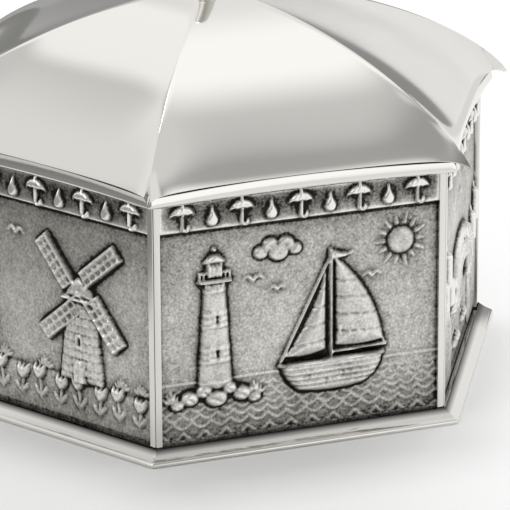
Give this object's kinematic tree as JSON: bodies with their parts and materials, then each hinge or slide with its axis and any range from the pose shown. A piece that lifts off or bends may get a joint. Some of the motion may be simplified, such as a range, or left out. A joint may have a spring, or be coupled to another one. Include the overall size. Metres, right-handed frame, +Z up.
{
  "type": "coin box",
  "caption": "Hexagonal pewter coin box with cast picture walls, polished corner posts and plinth, and a lift-off lid shaped as an open umbrella with a coin slot.",
  "frame": {"origin": "centre of the underside of the plinth, on the surface that the box stands on", "axes": "+Z up; the wall of the main picture faces -Y and the coin slot is on the +Y side"},
  "size_m": [0.101, 0.0874, 0.0699],
  "materials": {
    "polished_pewter": "cast pewter, polished bright",
    "oxidised_pewter": "cast pewter, darkened and relieved on the high points",
    "satin_pewter": "spun pewter, left satin",
    "stopper_rubber": "soft moulded, matt"
  },
  "bodies": {
    "box": {"plinth": "polished_pewter", "floor_plate": "satin_pewter", "wall_panel_1": "oxidised_pewter", "wall_panel_2": "oxidised_pewter", "wall_panel_3": "oxidised_pewter", "wall_panel_4": "oxidised_pewter", "wall_panel_5": "oxidised_pewter", "wall_panel_6": "oxidised_pewter", "corner_post_1": "polished_pewter", "corner_post_2": "polished_pewter", "corner_post_3": "polished_pewter", "corner_post_4": "polished_pewter", "corner_post_5": "polished_pewter", "corner_post_6": "polished_pewter"},
    "lid": {"lid_canopy": "polished_pewter", "lid_rim": "polished_pewter", "lid_collar": "satin_pewter", "finial": "polished_pewter"},
    "stopper": {"base_stopper": "stopper_rubber"}
  },
  "joints": [
    {"name": "lid_lift", "type": "slide", "parent": "box", "child": "lid", "axis": [0, 0, 1], "range_m": [0, 0.045]},
    {"name": "stopper_pull", "type": "slide", "parent": "box", "child": "stopper", "axis": [0, 0, -1], "range_m": [0, 0.015]}
  ]
}
